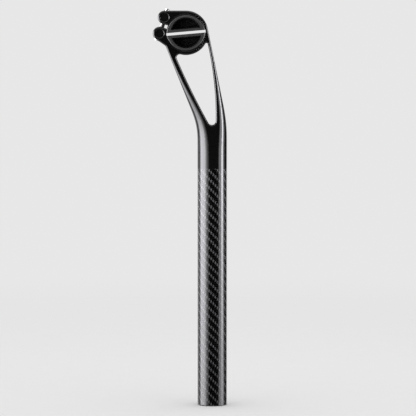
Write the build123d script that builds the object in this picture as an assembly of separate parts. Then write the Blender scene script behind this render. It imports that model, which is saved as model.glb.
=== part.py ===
"""Carbon seatpost with a split two-leg neck, a slit clamp ring and a two-piece saddle rail clamp.

Millimetres. The origin is the centre of the shaft's foot, +Z runs up the shaft, +X points to the front of
the bicycle and Y runs across it. Points of the side view are written as (x, z).
"""
import os
from math import acos, atan2, cos, degrees, radians, sin, sqrt, tan

from build123d import *

# Round shaft that slides into the frame's seat tube
shaft_d = 27.2
shaft_wall = 2.6
foot_chamfer = 0.5

# Clamp ring, centred on the saddle tilt axis
setback = 24.0
clamp_height = 343.0
bore_r = 17.9
ring_wall = 2.4
head_width = 25.0
head_edge_r = 1.7
bore_edge = 0.4

# Neck: its legs' lean to the rear, the bends where they leave the shaft, and the knee under the lower eye
neck_rise = 113.0
front_lean = 11.6
front_bend = 40.0
rear_lean = 21.8
rear_bend = 34.0
knee_back = 18.7
knee_drop = 12.0
knee_r = 4.0
head_foot = 2.7
neck_steps = 12
round_flat = 2.0

# Window between the legs, and what it leaves of each leg at its top
window_tip_x = 2.8
window_tip_rise = 19.5
window_tip_r = 3.6
rear_leg_t = 5.4
rear_leg_bow = 1.6
front_leg_t = 3.3
front_leg_bow = 3.6
window_corner_r = 3.0
window_wedge_r = 1.2
window_edge = 1.0

# Clamp bolt, its two eyes and the barrels in them
eye_r = 6.2
eye_pitch = 15.4
upper_eye_x = -19.6
bolt_tilt = 17.4
barrel_d = 8.0
barrel_fit = 0.05
barrel_recess = 0.8
bolt_d = 5.0
bolt_fit = 0.25
thread_fit = 0.05
bolt_length = 26.0
bolt_head_d = 8.5
bolt_head_h = 5.0
bolt_head_drop = 2.1
bolt_head_fit = 0.4
bolt_edge = 0.5
socket_width = 4.0
socket_depth = 2.8

# Saddle rail clamp
rail_d = 7.0
rail_pitch = 44.0
rail_tilt = 5.0
clamp_length = 53.6
clamp_fit = 0.05
clamp_gap = 2.4
clamp_recess = 1.0
ear_drop = 2.05
ear_edge = 0.5
pocket_r = 14.1
pocket_rim = 2.3
pocket_inset = 2.5
pocket_depth = 10.0

shaft_r = shaft_d / 2
ring_r = bore_r + ring_wall
shaft_top = clamp_height - neck_rise
centre = Vector(-setback, clamp_height)
neck_top = clamp_height - ring_r - head_foot
bolt_up = Vector(sin(radians(bolt_tilt)), cos(radians(bolt_tilt)))
slit_in = Vector(cos(radians(bolt_tilt)), -sin(radians(bolt_tilt)))
upper_eye = centre + Vector(upper_eye_x, ring_r - eye_r)
lower_eye = upper_eye - bolt_up * eye_pitch
knee = centre - Vector(knee_back, knee_drop)
front_tangent = centre + Vector(ring_r, 0).rotate(Axis.Z, front_lean)
head_end = -bolt_head_drop - bolt_head_h
stand = (Align.CENTER, Align.CENTER, Align.MIN)


def angle_of(direction):
    """Angle of a side-view direction, in degrees."""
    return degrees(atan2(direction.Y, direction.X))


def reach_circle(start, direction, middle, radius):
    """Point where a ray from outside first meets a circle."""
    to_middle = middle - start
    along = to_middle.dot(direction)
    off = to_middle.length ** 2 - along ** 2
    return start + direction * (along - sqrt(radius ** 2 - off))


def arc(middle, radius, start, end, clockwise=False):
    """Arc about a point, from the side of one point to the side of another."""
    first = angle_of(start - middle)
    sweep = (angle_of(end - middle) - first) % 360
    return CenterArc(middle, radius, first, sweep - 360 if clockwise else sweep)


def front_x(z):
    """Front outline of the neck's straight stretch."""
    return front_tangent.X + (front_tangent.Y - z) * tan(radians(front_lean))


def rear_x(z):
    """Rear outline of the neck's straight stretch."""
    return knee.X + (knee.Y - z) * tan(radians(rear_lean))


def lean_off(z, lean, corner_z, bend):
    """Sideways shift of an edge that eases from the shaft into a leaning leg, over the bend's length."""
    way = (z - corner_z) / bend + 0.5
    if way <= 0:
        return 0.0
    if way < 1:
        return tan(radians(lean)) * bend * way ** 3 * (1 - way / 2)
    return tan(radians(lean)) * (z - corner_z)


def head_outline():
    """Side view of the slit ring, its two jaws and the tops of the legs."""
    upper_slit = upper_eye - bolt_up * eye_r
    lower_slit = lower_eye + bolt_up * eye_r
    upper_mouth = reach_circle(upper_slit, slit_in, centre, bore_r)
    lower_mouth = reach_circle(lower_slit, slit_in, centre, bore_r)
    to_knee = knee - lower_eye
    spread = degrees(acos(eye_r / to_knee.length))
    heel = lower_eye + Vector(eye_r, 0).rotate(Axis.Z, angle_of(to_knee) - spread)
    ring_top = centre + Vector(0, ring_r)
    eye_top = upper_eye + Vector(0, eye_r)
    front_foot = Vector(front_x(neck_top), neck_top)
    rear_foot = Vector(rear_x(neck_top), neck_top)
    edges = [
        Line(rear_foot, front_foot),
        Line(front_foot, front_tangent),
        arc(centre, ring_r, front_tangent, ring_top),
        Line(ring_top, eye_top),
        arc(upper_eye, eye_r, eye_top, upper_slit),
        Line(upper_slit, upper_mouth),
        arc(centre, bore_r, upper_mouth, lower_mouth, clockwise=True),
        Line(lower_mouth, lower_slit),
        arc(lower_eye, eye_r, lower_slit, heel),
        Line(heel, knee),
        Line(knee, rear_foot),
    ]
    outline = make_face(edges)
    corner = outline.vertices().sort_by_distance(knee)[0]
    return fillet(corner, knee_r)


def side_solid(face, width):
    """Side-view face made into a solid centred across the bicycle."""
    return extrude(Plane.XZ * face, width / 2, both=True)


def make_head():
    """Slit ring and jaws, rounded along the outside."""
    head = side_solid(head_outline(), head_width)
    sides = head.faces().filter_by(Axis.Y)
    foot = head.faces().sort_by(Axis.Z)[0]
    bore = head.faces().filter_by(GeomType.CYLINDER).sort_by(SortBy.AREA)[-1]
    plain = [edge.center() for face in (foot, bore) for edge in face.edges()]
    outer = [
        edge for face in sides for edge in face.edges()
        if all((edge.center() - middle).length > 0.01 for middle in plain)
    ]
    head = fillet(outer, head_edge_r)
    bore = head.faces().filter_by(GeomType.CYLINDER).sort_by(SortBy.AREA)[-1]
    return chamfer(bore.edges().filter_by(GeomType.CIRCLE), bore_edge)


def round_section(z):
    """Round section at the top of the shaft, parted like the sections above it."""
    starts = [quarter * 90 + side for quarter in range(4) for side in (-round_flat, round_flat)]
    sweeps = [2 * round_flat, 90 - 2 * round_flat] * 4
    edges = [CenterArc((0, 0), shaft_r, start, sweep) for start, sweep in zip(starts, sweeps)]
    return Pos(0, 0, z) * make_face(edges)


def neck_section(z):
    """Section of the neck: nearly round at the shaft, flat sided towards the head."""
    rise = (z - shaft_top) / (neck_top - shaft_top)
    blend = rise * rise * (3 - 2 * rise)
    front_corner = front_tangent.Y - (shaft_r - front_tangent.X) / tan(radians(front_lean))
    rear_corner = knee.Y + (shaft_r + knee.X) / tan(radians(rear_lean))
    front = shaft_r - lean_off(z, front_lean, front_corner, front_bend)
    rear = -shaft_r - lean_off(z, rear_lean, rear_corner, rear_bend)
    side = (shaft_d + (head_width - shaft_d) * blend) / 2
    edge = shaft_r + (head_edge_r - shaft_r) * blend
    front_edge = edge / cos(radians(front_lean) * blend)
    rear_edge = edge / cos(radians(rear_lean) * blend)
    front_in = front - front_edge
    rear_in = rear + rear_edge
    side_in = side - edge
    edges = [
        Line((front, -side_in), (front, side_in)),
        EllipticalCenterArc((front_in, side_in), front_edge, edge, 0, arc_size=90),
        Line((front_in, side), (rear_in, side)),
        EllipticalCenterArc((rear_in, side_in), rear_edge, edge, 90, arc_size=90),
        Line((rear, side_in), (rear, -side_in)),
        EllipticalCenterArc((rear_in, -side_in), rear_edge, edge, 180, arc_size=90),
        Line((rear_in, -side), (front_in, -side)),
        EllipticalCenterArc((front_in, -side_in), front_edge, edge, 270, arc_size=90),
    ]
    return Pos(0, 0, z) * make_face(edges)


def make_neck():
    """Loft from the round shaft to the foot of the head."""
    step = (neck_top - shaft_top) / neck_steps
    sections = [neck_section(shaft_top + step * count) for count in range(1, neck_steps + 1)]
    return loft([round_section(shaft_top), *sections])


def window_outline():
    """Gap between the two legs, closed at the top by the ring."""
    tip = Vector(window_tip_x, shaft_top + window_tip_rise)
    rear_end = Vector(rear_x(knee.Y) + rear_leg_t, knee.Y)
    front_end = Vector(front_x(centre.Y) - front_leg_t, centre.Y)
    edges = [
        SagittaArc(front_end, tip, front_leg_bow),
        Line(front_end, rear_end),
        SagittaArc(tip, rear_end, rear_leg_bow),
    ]
    gap = make_face(edges) - Pos(centre.X, centre.Y) * Circle(ring_r)
    for corner, radius in (
        (tip, window_tip_r),
        (rear_end, window_corner_r),
        (front_end, window_wedge_r),
    ):
        gap = fillet(gap.vertices().sort_by_distance(corner)[0], radius)
    return gap


def along_bolt(rise, radius, length):
    """Cylinder along the bolt, standing a distance above the lower eye."""
    foot = lower_eye + bolt_up * rise
    plane = Plane((foot.X, 0, foot.Y), x_dir=(0, 1, 0), z_dir=(bolt_up.X, 0, bolt_up.Y))
    return plane * Cylinder(radius, length, align=stand)


def across(middle, radius, width):
    """Cylinder across the bicycle."""
    return side_solid(Pos(middle.X, middle.Y) * Circle(radius), width)


def bolt_hole(radius):
    """Round hole along the whole bolt."""
    return along_bolt(head_end, radius, 2 * bolt_length)


def head_hole():
    """Round hole that the bolt head goes in through, from below."""
    return along_bolt(head_end - bolt_head_h, bolt_head_d / 2 + bolt_head_fit, 2 * bolt_head_h)


def make_shaft():
    """Hollow round shaft, open at the foot and closed inside at the top."""
    hollow = Cylinder(shaft_r - shaft_wall, shaft_top - shaft_wall, align=stand)
    shaft = Cylinder(shaft_r, shaft_top, align=stand) - hollow
    foot = shaft.faces().sort_by(Axis.Z)[0]
    return chamfer(foot.outer_wire().edges(), foot_chamfer)


def make_post():
    """The one-piece moulding."""
    body = make_shaft() + make_neck() + make_head()
    window = side_solid(window_outline(), 2 * head_width)
    post = body - window
    post = chamfer(new_edges(body, window, combined=post), window_edge)
    for eye in (upper_eye, lower_eye):
        post -= across(eye, barrel_d / 2 + barrel_fit, 2 * head_width)
    post -= bolt_hole(bolt_d / 2 + bolt_fit)
    return post - head_hole()


def make_barrel(eye):
    """Plain cross barrel, set a little into its eye."""
    return across(eye, barrel_d / 2, head_width - 2 * barrel_recess)


def make_bolt():
    """Socket head bolt, head down."""
    head = along_bolt(head_end, bolt_head_d / 2, bolt_head_h)
    shank = along_bolt(-bolt_head_drop, bolt_d / 2, bolt_length)
    ends = (head + shank).edges().filter_by(GeomType.CIRCLE).sort_by(Axis.Z)
    bolt = chamfer([ends[0], ends[-1]], bolt_edge)
    mouth = bolt.faces().filter_by(GeomType.PLANE).sort_by(Axis.Z)[0]
    socket = Plane(mouth) * RegularPolygon(socket_width / 2, 6, major_radius=False)
    return bolt - extrude(socket, -socket_depth)


def pocket():
    """Pocket in the near end of the upper rail clamp, drawn in towards its floor."""
    end = Plane((0, -clamp_length / 2, 0), x_dir=(1, 0, 0), z_dir=(0, 1, 0))
    bowl = end * Cone(pocket_r, pocket_r - pocket_inset, pocket_depth, align=stand)
    ledge = (0, -clamp_length / 2, clamp_gap / 2 + pocket_rim)
    return split(bowl, Plane(ledge, z_dir=(0, -pocket_inset, pocket_depth)))


def make_upper_clamp():
    """Upper half of the rail clamp, level and centred on the tilt axis."""
    round_face = Circle(bore_r - clamp_fit)
    core = side_solid(round_face, head_width - 2 * clamp_recess)
    clamp = core + side_solid(Pos(0, -ear_drop) * round_face, clamp_length)
    clamp = split(clamp, Plane.XY.offset(clamp_gap / 2))
    for side in (-1, 1):
        rail = Cylinder(rail_d / 2, 3 * bore_r, rotation=(0, 90, 0))
        clamp -= Pos(0, side * rail_pitch / 2, 0) * rail
    ends = clamp.faces().filter_by(Axis.Y).sort_by(Axis.Y)
    clamp = chamfer(ends[0].edges() + ends[-1].edges(), ear_edge)
    return clamp - pocket() - mirror(pocket(), Plane.XZ)


tilt = Pos(centre.X, 0, centre.Y) * Rot(0, -rail_tilt, 0)
upper_clamp = make_upper_clamp()

parts = {
    "post": make_post(),
    "upper_rail_clamp": tilt * upper_clamp,
    "lower_rail_clamp": tilt * mirror(upper_clamp, Plane.XY),
    "barrel_nut": make_barrel(upper_eye) - bolt_hole(bolt_d / 2 + thread_fit),
    "barrel_seat": make_barrel(lower_eye) - bolt_hole(bolt_d / 2 + bolt_fit) - head_hole(),
    "clamp_bolt": make_bolt(),
}

os.makedirs("parts", exist_ok=True)
for name, part in parts.items():
    print(name, part.is_valid, len(part.solids()), round(part.volume, 2))
    export_step(part, f"parts/{name}.step")
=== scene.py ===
"""Looks of the carbon seatpost: clear-coated twill, gloss black, satin alloy and a threaded steel bolt.

Metres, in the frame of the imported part: +Z runs up the shaft and +X points to the front of the bicycle.
A grain is written as its lumps per metre, its value where the noise is 0, and the change to where it is 1.
"""

from math import cos, pi, radians, sin

import bmesh
import bpy
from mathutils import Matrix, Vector


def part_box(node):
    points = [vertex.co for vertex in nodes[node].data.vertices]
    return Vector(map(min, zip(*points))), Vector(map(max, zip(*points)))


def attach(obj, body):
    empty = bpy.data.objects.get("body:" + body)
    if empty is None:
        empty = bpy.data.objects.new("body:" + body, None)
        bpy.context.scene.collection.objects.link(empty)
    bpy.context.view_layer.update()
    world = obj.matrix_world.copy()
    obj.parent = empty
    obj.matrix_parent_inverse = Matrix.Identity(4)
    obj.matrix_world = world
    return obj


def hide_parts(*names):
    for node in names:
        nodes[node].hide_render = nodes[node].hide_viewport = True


# Camera: level with the clamp, looking slightly down at the middle of the picture
camera_place = Vector((-0.0039, -2.70, 0.343))
view_centre = Vector((-0.0039, 0.0, 0.1820))
view_width = 0.3830
view_depth = 20.0
sensor_width = 36.0

# Carbon: a 2 by 2 twill under clear coat, plain gloss black above it, bare laminate in the bore and foot
weave_top = 0.2186
bore_r = 0.0120
bore_top = 0.235
cut_top = 0.0001
carbon_tint = (1.0, 1.0, 1.02)
black_grey = (300.0, 0.004, 0.003)
black_dull = (120.0, 0.16, 0.06)
laminate_grey = (900.0, 0.015, 0.02)
laminate_dull = 0.62

# Tows of the twill: their size, painted sheen and shade in their grey, painted crown highlight, dullness, and
# the streaks along their fibres, in lumps per tow
tow_height = 0.001975
tows_round = 44
tow_crown = 0.00010
# Painted highlight on each tow's crown, falling to painted shade at its sides
crown_light_falloff = 1.6
tow_side_shade = 0.05
# Upright tows are painted brighter as a painted sheen, crosswise ones darker as painted shade
upright_grey_with_sheen = 0.095
cross_grey_with_shade = 0.018
twill_dull = 0.50
twill_dull_change = 0.12
twill_brushing = 0.9
fibre_change = 1.2
lumps_along = 0.5
lumps_across = 9.0

# Clear coat: rounded at the edges, with a faint ripple
coat_round = 0.0012
coat_samples = 8
coat_dull = 0.03
coat_index = 1.5
ripple_lumps = 110.0
ripple_height = 0.00002

# Alloy: grey, dullness and shine of each finish, then the mottle, edges, painted shade in the recesses and
# grain that both have
clamp_finish = (0.045, 0.40, 0.5)
barrel_finish = (0.006, 0.28, 0.2)
alloy_tint = (1.0, 1.0, 1.03)
alloy_metal = 0.35
alloy_mottle = (220.0, 0.8, 0.4)
alloy_dull_lumps = 700.0
alloy_dull_change = 0.12
rubbed_edge = 0.0004
rubbed_gain = 3.0
rubbed_lumps = 500.0
rubbed_grey = 0.05
# Painted shade: how far and how strongly the alloy's colour is darkened in its recesses
recess_shade_reach = 0.012
recess_shade_samples = 8
recess_shade_power = 2.5
blast_lumps = 3600.0
blast_height = 0.000025

# Bolt steel: faint stains and fine turning marks
steel_tint = (1.0, 0.985, 0.965)
steel_grey = (700.0, 0.60, -0.14)
steel_dull = (1500.0, 0.26, 0.14)
mark_lumps = 9000.0
mark_height = 0.000006

# Bolt: M5 with a hexagon socket, leaning with the slit of the ring
bolt_tilt = radians(17.4)
bolt_segments = 48
bolt_edge = 0.0005
head_share = 0.8
socket_width = 0.004
socket_depth = 0.0028
socket_mouth = 1.24
socket_point = 0.4
sharp_angle = radians(32)

# Thread: half widths of its foot and crest in pitches, and how far its foot sinks in, as a share of its depth
thread_pitch = 0.0008
thread_depth = 0.00049
thread_length = 0.022
thread_steps = 24
thread_foot = 0.44
thread_crest = 0.07
thread_sink = 0.1

# Studio: pale surroundings, a pale floor that fades into them and a soft lamp above
pale = 0.80
floor_radius = 1.5
floor_solid = 0.3
floor_segments = 96
floor_grey = (40.0, pale - 0.01, 0.02)
floor_dull = 0.9
lamp_height = 1.4
lamp_size = 2.0
lamp_radiance = 0.55

# Dark cards: the two ends of each on the floor plan
card_height = 3.4
cards = {
    "front_card": ((-1.7, -3.2), (3.7, -3.2)),
    "left_card": ((-0.85, 0.15), (-0.85, 0.80)),
    "right_card": ((0.85, 0.17), (0.85, 1.10)),
}

# Upright panels, a bright core before a wide one at each side of the post: place across, near and far edge
# at half strength, low and high end, and radiance. A panel's light grows from its low end to the height
# panel_full, and fades over panel_fade below its high end and over the share panel_soft at each edge.
panel_full = 0.324
panel_fade = 0.30
panel_soft = 0.30
panel_tint = (0.96, 0.955, 1.0)
panels = {
    "left_core": (-0.80, -0.585, 0.15, -0.56, 0.80, 8.6),
    "left_wide": (-0.82, -0.98, 0.36, -0.70, 0.80, 4.0),
    "right_core": (0.80, -0.19, -0.015, -0.215, 0.80, 16.8),
    "right_wide": (0.82, -0.56, 0.20, -0.90, 0.80, 3.6),
}

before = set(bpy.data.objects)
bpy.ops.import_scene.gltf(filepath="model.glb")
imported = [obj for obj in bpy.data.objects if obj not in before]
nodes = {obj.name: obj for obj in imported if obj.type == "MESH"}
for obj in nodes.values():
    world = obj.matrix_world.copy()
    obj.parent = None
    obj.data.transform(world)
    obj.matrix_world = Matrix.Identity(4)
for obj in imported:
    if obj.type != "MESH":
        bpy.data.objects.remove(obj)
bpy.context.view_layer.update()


class Shader:
    """Principled material with short ways to add nodes and join them."""

    def __init__(self, name):
        self.material = bpy.data.materials.new(name)
        self.material.use_nodes = True
        self.tree = self.material.node_tree
        self.surface = self.tree.nodes["Principled BSDF"]
        self.place = self.add("TexCoord").outputs["Object"]

    def add(self, kind, settings=None, **inputs):
        """Node of a kind with its settings made and its inputs fed."""
        node = self.tree.nodes.new("ShaderNode" + kind)
        for name, value in (settings or {}).items():
            setattr(node, name, value)
        self.feed(node, **inputs)
        return node

    def join(self, value, socket):
        """Link an output to a socket, or set the socket to a plain value."""
        if isinstance(value, bpy.types.NodeSocket):
            self.tree.links.new(value, socket)
        else:
            socket.default_value = value

    def feed(self, node, **inputs):
        """Fill inputs by name, with underscores for the spaces in their names."""
        for name, value in inputs.items():
            self.join(value, node.inputs[name.replace("_", " ")])

    def combine(self, kind, operation, values):
        """Node that works something out from numbers, vectors or other outputs."""
        node = self.add(kind, {"operation": operation})
        for socket, value in zip(node.inputs, values):
            self.join(value, socket)
        return node

    def math(self, operation, *values):
        """Number worked out from others."""
        return self.combine("Math", operation, values).outputs[0]

    def vector(self, operation, result, *values):
        """Value or Vector worked out from vectors."""
        return self.combine("VectorMath", operation, values).outputs[result]

    def mix(self, share, first, second):
        """Number between two others."""
        change = self.math("SUBTRACT", second, first)
        return self.math("MULTIPLY_ADD", change, share, first)

    def grey(self, value, tint=(1.0, 1.0, 1.0)):
        """Colour of a brightness and a slight tint."""
        parts = {axis: self.math("MULTIPLY", value, part) for axis, part in zip("XYZ", tint)}
        return self.add("CombineXYZ", **parts).outputs[0]

    def noise(self, lumps, detail=3.0):
        """Noise from 0 to 1, with its lumps per metre."""
        return self.add("TexNoise", Vector=self.place, Scale=lumps, Detail=detail).outputs["Fac"]

    def grain(self, lumps, low, change):
        """Number that noise changes."""
        return self.math("MULTIPLY_ADD", self.noise(lumps), change, low)

    def facing(self):
        """Normal of the surface as it is."""
        return self.add("NewGeometry").outputs["Normal"]

    def rounded(self, radius, samples=4):
        """Normal of the surface with its edges rounded to a radius in metres."""
        return self.add("Bevel", {"samples": samples}, Radius=radius).outputs["Normal"]

    def bump(self, height, distance, **normal):
        """Normal of a surface that rises by a distance in metres where the height is 1."""
        return self.add("Bump", Height=height, Distance=distance, **normal).outputs["Normal"]

    def edges(self, radius):
        """0 on the faces, and more the nearer an edge is within a radius in metres."""
        match = self.vector("DOT_PRODUCT", "Value", self.rounded(radius), self.facing())
        return self.math("SUBTRACT", 1.0, match)

    def openness(self, reach, samples):
        """1 where the surface lies open, less where its own solid shuts it in within a reach in metres."""
        settings = {"samples": samples, "only_local": True}
        return self.add("AmbientOcclusion", settings, Distance=reach).outputs["AO"]


def carbon():
    """Twill cloth seen through clear coat, with plain gloss black above it."""
    shade = Shader("carbon")
    x, y, z = shade.add("SeparateXYZ", Vector=shade.place).outputs

    # Tows are counted round the shaft and up it, and upright ones lie on top for two steps of every four
    columns = shade.math("MULTIPLY", shade.math("ARCTAN2", y, x), tows_round / (2 * pi))
    rows = shade.math("DIVIDE", z, tow_height)
    column = shade.math("FLOOR", columns)
    row = shade.math("FLOOR", rows)
    step = shade.math("FLOORED_MODULO", shade.math("ADD", column, row), 4.0)
    upright = shade.math("LESS_THAN", step, 1.5)

    def crown(place):
        """Height across a tow, 1 in its middle and 0 at its sides."""
        side = shade.math("MULTIPLY_ADD", shade.math("FRACT", place), 2.0, -1.0)
        return shade.math("SUBTRACT", 1.0, shade.math("MULTIPLY", side, side))

    def swell(along, start):
        """Height along a tow, 1 in the middle of its run on top and 0 where it goes under."""
        share = shade.math("SUBTRACT", shade.math("FLOORED_MODULO", along, 4.0), start)
        return shade.math("SINE", shade.math("MULTIPLY", share, pi / 2))

    up_swell = swell(shade.math("ADD", column, rows), 0.0)
    cross_swell = swell(shade.math("ADD", columns, row), 2.0)
    up_height = shade.math("MULTIPLY", crown(columns), up_swell)
    cross_height = shade.math("MULTIPLY", crown(rows), cross_swell)
    tow = shade.mix(upright, cross_height, up_height)

    # Masks: bare laminate in the bore and on the cut foot, cloth, clear coat, and cloth under the coat
    radius = shade.math("SQRT", shade.math("MULTIPLY_ADD", x, x, shade.math("MULTIPLY", y, y)))
    low = shade.math("LESS_THAN", z, bore_top)
    inside = shade.math("MULTIPLY", shade.math("LESS_THAN", radius, bore_r), low)
    cut = shade.math("LESS_THAN", z, cut_top)
    bare = shade.math("MAXIMUM", inside, cut)
    cloth = shade.math("LESS_THAN", z, weave_top)
    coated = shade.math("SUBTRACT", 1.0, bare)
    twill = shade.math("MULTIPLY", cloth, coated)

    def streaks(round_lumps, up_lumps):
        """Noise that is drawn out along the fibres of a tow."""
        spot = shade.add(
            "CombineXYZ",
            X=shade.math("MULTIPLY", columns, round_lumps),
            Y=shade.math("MULTIPLY", rows, up_lumps),
        )
        return shade.add("TexNoise", Vector=spot.outputs[0], Scale=1.0, Detail=2.0).outputs["Fac"]

    fibre = shade.mix(upright, streaks(lumps_along, lumps_across), streaks(lumps_across, lumps_along))
    streak = shade.math("MULTIPLY_ADD", fibre, fibre_change, 1.0 - fibre_change / 2)
    # Painted sheen and shade: upright tows get a brighter grey and crosswise ones a darker grey of the same
    # fibre
    strand = shade.math("MULTIPLY", streak, shade.mix(upright, cross_grey_with_shade, upright_grey_with_sheen))
    # Painted highlight and shade: each tow is painted brighter on its crown and darker towards its sides
    painted_crown_light = shade.math("MULTIPLY_ADD", shade.math("POWER", tow, crown_light_falloff), 1.0 - tow_side_shade, tow_side_shade)
    woven = shade.math("MULTIPLY", strand, painted_crown_light)
    outer = shade.mix(cloth, shade.grain(*black_grey), woven)
    base = shade.mix(bare, outer, shade.grain(*laminate_grey))

    sheen = shade.math("MULTIPLY_ADD", fibre, twill_dull_change, twill_dull)
    outer_dull = shade.mix(cloth, shade.grain(*black_dull), sheen)
    dull = shade.mix(bare, outer_dull, laminate_dull)

    # The shine is drawn out round the post, and a quarter turn from that on crosswise tows
    round_post = shade.vector("CROSS_PRODUCT", "Vector", (0.0, 0.0, 1.0), shade.facing())
    turned = shade.math("MULTIPLY", shade.math("SUBTRACT", 1.0, upright), 0.25)
    edge_normal = shade.rounded(coat_round, coat_samples)
    shade.feed(
        shade.surface,
        Base_Color=shade.grey(base, carbon_tint),
        Metallic=twill,
        Roughness=dull,
        Normal=shade.bump(shade.math("MULTIPLY", tow, twill), tow_crown),
        Specular_IOR_Level=0.0,
        Anisotropic=twill_brushing,
        Anisotropic_Rotation=turned,
        Tangent=round_post,
        Coat_Weight=coated,
        Coat_Roughness=coat_dull,
        Coat_IOR=coat_index,
        Coat_Normal=shade.bump(shade.noise(ripple_lumps, 0.0), ripple_height, Normal=edge_normal),
    )
    return shade.material


def anodised(name, level, roughness, specular):
    """Black anodised alloy, finely blasted, paler where its edges are rubbed, with painted shade darkening
    its recesses.
    """
    shade = Shader(name)
    worn = shade.math("MULTIPLY", shade.edges(rubbed_edge), rubbed_gain)
    rubbed = shade.math("MULTIPLY", worn, shade.noise(rubbed_lumps))
    rubbed_paler = shade.math("MULTIPLY", rubbed, rubbed_grey)
    finish = shade.math("MULTIPLY_ADD", shade.grain(*alloy_mottle), level, rubbed_paler)
    # Painted shade: the colour is darkened where the alloy's own solid shuts the surface in
    painted_recess_shade = shade.math("POWER", shade.openness(recess_shade_reach, recess_shade_samples), recess_shade_power)
    shade.feed(
        shade.surface,
        Base_Color=shade.grey(shade.math("MULTIPLY", finish, painted_recess_shade), alloy_tint),
        Metallic=alloy_metal,
        Roughness=shade.grain(alloy_dull_lumps, roughness, alloy_dull_change),
        Specular_IOR_Level=specular,
        Normal=shade.bump(shade.noise(blast_lumps, 2.0), blast_height),
    )
    return shade.material


def steel():
    """Bright bolt steel with fine turning marks and faint stains."""
    shade = Shader("bolt_steel")
    shade.feed(
        shade.surface,
        Base_Color=shade.grey(shade.grain(*steel_grey), steel_tint),
        Metallic=1.0,
        Roughness=shade.grain(*steel_dull),
        Normal=shade.bump(shade.noise(mark_lumps, 1.0), mark_height),
    )
    return shade.material


def dress(name, material):
    """Give a node of the part its material."""
    data = nodes[name].data
    data.materials.clear()
    data.materials.append(material)


def make_object(name, mesh, material):
    """Object in the scene from a finished mesh and its material."""
    data = bpy.data.meshes.new(name)
    mesh.to_mesh(data)
    mesh.free()
    data.materials.append(material)
    made = bpy.data.objects.new(name, data)
    bpy.context.scene.collection.objects.link(made)
    return made


def threaded_bolt(material):
    """Socket head bolt with its thread, on the axis and to the lengths of the plain solid."""
    low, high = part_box("barrel_nut")
    seat = (Vector(low) + Vector(high)) / 2
    axis = Vector((sin(bolt_tilt), 0.0, cos(bolt_tilt)))
    side = Vector((cos(bolt_tilt), 0.0, -sin(bolt_tilt)))
    across = axis.cross(side)

    # Lengths along the axis from the nut, and radii, read from the plain solid
    reach = []
    for vertex in nodes["clamp_bolt"].data.vertices:
        offset = vertex.co - seat
        along = offset.dot(axis)
        reach.append((along, (offset - axis * along).length))
    head_end = min(along for along, radius in reach)
    tip = max(along for along, radius in reach)
    head_r = max(radius for along, radius in reach)
    head_top = max(along for along, radius in reach if radius > head_share * head_r)
    shank_r = max(radius for along, radius in reach if along > (head_top + tip) / 2)
    core_r = shank_r - thread_depth
    root_r = core_r - thread_depth * thread_sink
    thread_start = tip - thread_length

    mesh = bmesh.new()

    def point(along, radius, turn):
        """Corner at a length along the axis, a radius from it and an angle round it."""
        out = side * cos(turn) + across * sin(turn)
        return mesh.verts.new(seat + axis * along + out * radius)

    def ring(along, radius, hexagon=False):
        """Circle of corners, or a hexagon whose flats are at the radius."""
        points = []
        for index in range(bolt_segments):
            turn = 2 * pi * index / bolt_segments
            flat = cos(turn % (pi / 3) - pi / 6) if hexagon else 1.0
            points.append(point(along, radius / flat, turn))
        return points

    def bridge(first, second):
        """Faces between two closed rows of corners."""
        for index in range(len(first)):
            after = (index + 1) % len(first)
            mesh.faces.new((first[index], first[after], second[after], second[index]))

    def close(points, along):
        """Faces from a closed row of corners to one point on the axis."""
        centre = point(along, 0.0, 0.0)
        for index in range(len(points)):
            mesh.faces.new((centre, points[(index + 1) % len(points)], points[index]))

    socket_r = socket_width / 2
    rings = [
        ring(head_end + socket_depth, socket_r, True),
        ring(head_end + bolt_edge, socket_r, True),
        ring(head_end, socket_r * socket_mouth),
        ring(head_end, head_r - bolt_edge),
        ring(head_end + bolt_edge, head_r),
        ring(head_top - bolt_edge / 2, head_r),
        ring(head_top, head_r - bolt_edge / 2),
        ring(head_top, shank_r),
        ring(thread_start - thread_pitch, shank_r),
        ring(thread_start, core_r),
        ring(tip - bolt_edge, core_r),
        ring(tip, core_r - bolt_edge),
    ]
    for first, second in zip(rings, rings[1:]):
        bridge(first, second)
    close(rings[0], head_end + socket_depth + socket_r * socket_point)
    close(rings[-1], tip)

    # The thread winds round the core, and rises and falls over half a turn at its ends
    steps = int((thread_length - bolt_edge - thread_pitch) / thread_pitch * thread_steps)
    before = None
    for index in range(steps + 1):
        turn = 2 * pi * index / thread_steps
        along = thread_start + thread_pitch * index / thread_steps
        rise = min(1.0, 2 * index / thread_steps, 2 * (steps - index) / thread_steps)
        crest_r = core_r + thread_depth * rise
        section = [
            point(along - thread_foot * thread_pitch, root_r, turn),
            point(along - thread_crest * thread_pitch, crest_r, turn),
            point(along + thread_crest * thread_pitch, crest_r, turn),
            point(along + thread_foot * thread_pitch, root_r, turn),
        ]
        if before:
            bridge(before, section)
        else:
            mesh.faces.new(section)
        before = section
    mesh.faces.new(before)
    bmesh.ops.recalc_face_normals(mesh, faces=mesh.faces)
    bolt = make_object("threaded_bolt", mesh, material)
    bolt.data.shade_smooth()
    bolt.data.set_sharp_from_angle(angle=sharp_angle)
    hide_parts("clamp_bolt")
    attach(bolt, "seatpost")


def floor():
    """Pale floor that fades into the surroundings."""
    mesh = bmesh.new()
    bmesh.ops.create_circle(mesh, cap_ends=True, segments=floor_segments, radius=floor_radius)
    shade = Shader("floor")
    away = shade.vector("LENGTH", "Value", shade.place)
    fade = shade.add("MapRange", {"interpolation_type": "SMOOTHSTEP"}, Value=away)
    shade.feed(fade, From_Min=floor_solid, From_Max=floor_radius, To_Min=1.0, To_Max=0.0)
    shade.feed(
        shade.surface,
        Base_Color=shade.grey(shade.grain(*floor_grey)),
        Roughness=floor_dull,
        Specular_IOR_Level=0.0,
        Alpha=fade.outputs[0],
    )
    ground = make_object("floor", mesh, shade.material)
    ground.visible_glossy = False


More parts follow.
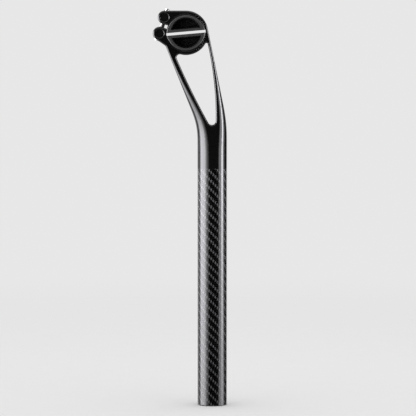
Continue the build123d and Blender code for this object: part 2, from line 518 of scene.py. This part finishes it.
def dark_card(name, start, end):
    """Upright black card between two places on the floor plan, which only gloss shows."""
    mesh = bmesh.new()
    low = camera_place.z - card_height / 2
    high = camera_place.z + card_height / 2
    corners = [(*start, low), (*end, low), (*end, high), (*start, high)]
    mesh.faces.new([mesh.verts.new(corner) for corner in corners])
    shade = Shader(name)
    shade.feed(shade.surface, Base_Color=(0.0, 0.0, 0.0, 1.0), Specular_IOR_Level=0.0)
    card = make_object(name, mesh, shade.material)
    card.visible_camera = False
    card.visible_diffuse = False
    card.visible_shadow = False


def surroundings():
    """Even pale light from all sides, and the camera."""
    scene = bpy.context.scene
    world = bpy.data.worlds.new("pale")
    world.use_nodes = True
    sky = world.node_tree.nodes["Background"]
    sky.inputs["Color"].default_value = (pale, pale, pale, 1.0)
    scene.world = world
    look = view_centre - camera_place
    lens = bpy.data.cameras.new("camera")
    lens.sensor_width = sensor_width
    lens.lens = sensor_width * look.length / view_width
    lens.clip_end = view_depth
    camera = bpy.data.objects.new("camera", lens)
    camera.location = camera_place
    camera.rotation_euler = look.to_track_quat("-Z", "Y").to_euler()
    scene.collection.objects.link(camera)
    scene.camera = camera
    scene.view_settings.view_transform = "Standard"


def panel(name, place, towards, width, height, radiance):
    """Flat lamp that shines evenly from a rectangle."""
    light = bpy.data.lights.new(name, "AREA")
    light.shape = "RECTANGLE"
    light.size = width
    light.size_y = height
    light.energy = radiance * pi * width * height
    lamp = bpy.data.objects.new(name, light)
    lamp.location = place
    lamp.rotation_euler = Vector(towards).to_track_quat("-Z", "Y").to_euler()
    lamp.visible_camera = False
    bpy.context.scene.collection.objects.link(lamp)
    return lamp


def side_panel(name, reach, near, far, low, high, radiance):
    """Upright panel beside the post that only its gloss shows, dimmer towards its edges."""
    width = (far - near) / (1.0 - panel_soft)
    height = high - low
    place = (reach, (near + far) / 2, (low + high) / 2)
    lamp = panel(name, place, (-reach, 0, 0), width, height, radiance)
    lamp.visible_diffuse = False
    lamp.data.color = panel_tint
    lamp.data.use_nodes = True
    tree = lamp.data.node_tree
    spread = tree.nodes.new("ShaderNodeNewGeometry").outputs["Parametric"]
    split = tree.nodes.new("ShaderNodeSeparateXYZ")
    tree.links.new(spread, split.inputs[0])

    # Direction of each fade, and where it is dark and full, as shares of the panel's width or height
    fades = (
        ("X", 0.0, panel_soft),
        ("X", 1.0, 1.0 - panel_soft),
        ("Y", 0.0, (panel_full - low) / height),
        ("Y", 1.0, 1.0 - panel_fade / height),
    )
    strength = tree.nodes["Emission"].inputs["Strength"]
    for axis, dark, full in fades:
        fall = tree.nodes.new("ShaderNodeMapRange")
        fall.interpolation_type = "SMOOTHSTEP"
        fall.inputs["From Min"].default_value = dark
        fall.inputs["From Max"].default_value = full
        tree.links.new(split.outputs[axis], fall.inputs["Value"])
        share = tree.nodes.new("ShaderNodeMath")
        share.operation = "MULTIPLY"
        share.inputs[1].default_value = 1.0
        tree.links.new(fall.outputs[0], share.inputs[0])
        tree.links.new(share.outputs[0], strength)
        strength = share.inputs[1]


clamp_alloy = anodised("clamp_alloy", *clamp_finish)
barrel_alloy = anodised("barrel_alloy", *barrel_finish)
bolt_steel = steel()
dress("post", carbon())
dress("upper_rail_clamp", clamp_alloy)
dress("lower_rail_clamp", clamp_alloy)
dress("barrel_nut", barrel_alloy)
dress("barrel_seat", barrel_alloy)
dress("clamp_bolt", bolt_steel)
threaded_bolt(bolt_steel)

floor()
for name, ends in cards.items():
    dark_card(name, *ends)
surroundings()
panel("overhead", (0, 0, lamp_height), (0, 0, -1), lamp_size, lamp_size, lamp_radiance)
for name, spread in panels.items():
    side_panel(name, *spread)
